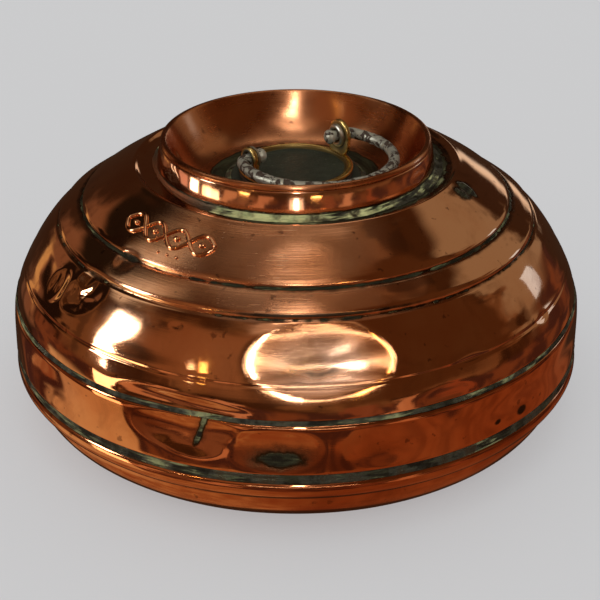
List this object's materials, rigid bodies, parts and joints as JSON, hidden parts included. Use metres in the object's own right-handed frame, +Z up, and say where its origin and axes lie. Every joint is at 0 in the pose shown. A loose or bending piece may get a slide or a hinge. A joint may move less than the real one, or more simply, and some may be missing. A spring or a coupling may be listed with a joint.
{
  "type": "copper bed warmer",
  "caption": "Round hollow copper bed warmer with a filler funnel on top, closed by a brass screw stopper with a swinging wire bail.",
  "frame": {"origin": "centre of the foot, on the surface that the warmer stands on", "axes": "+Z up along the axis of the vessel and the stopper's thread; +X to the right and +Y away from a person who faces it with the bail lying towards the front right"},
  "size_m": [0.227, 0.227, 0.1112],
  "materials": {
    "copper_base": "worn polished copper, reddened",
    "copper_band": "polished copper, dented and scratched",
    "copper_dome": "polished copper, dented and finely brushed",
    "copper_bowl": "satin copper, darkened at the bottom",
    "copper_collar": "bright polished copper",
    "solder": "dull solder under green verdigris",
    "neck_brass": "tarnished brass, nearly black-green",
    "stopper_brass": "aged brass, worn bright on the rim",
    "washer_leather": "dark oiled leather",
    "bail_steel": "flaking grey plating over dark steel",
    "bail_washer_steel": "worn nickelled ring"
  },
  "bodies": {
    "vessel": {"base_pan": "copper_base", "side_band": "copper_band", "dome_shell": "copper_dome", "lower_seam_solder": "solder", "upper_seam_solder": "solder", "funnel_bowl": "copper_bowl", "funnel_collar": "copper_collar", "funnel_solder": "solder", "neck_bush": "neck_brass", "bush_solder": "solder"},
    "washer": {"sealing_washer": "washer_leather"},
    "stopper": {"stopper_body": "stopper_brass", "stopper_ear_right": "stopper_brass", "stopper_ear_left": "stopper_brass"},
    "bail": {"bail_wire": "bail_steel", "bail_washer_right": "bail_washer_steel", "bail_washer_left": "bail_washer_steel"}
  },
  "joints": [
    {"name": "stopper_lift", "type": "slide", "parent": "vessel", "child": "washer", "axis": [0, 0, 1], "range_m": [0, 0.012]},
    {"name": "stopper_turn", "type": "hinge", "parent": "washer", "child": "stopper", "pos_m": [0, 0, 0.09], "axis": [0, 0, 1], "range_deg": [0, 1440]},
    {"name": "bail_swing", "type": "hinge", "parent": "stopper", "child": "bail", "pos_m": [0, 0, 0.105], "axis": [-0.8039, -0.5948, 0], "range_deg": [0, 180]}
  ],
  "couplings": [
    {"joint": "stopper_lift", "follows": "stopper_turn", "m_per_rad": 0.00047746}
  ]
}
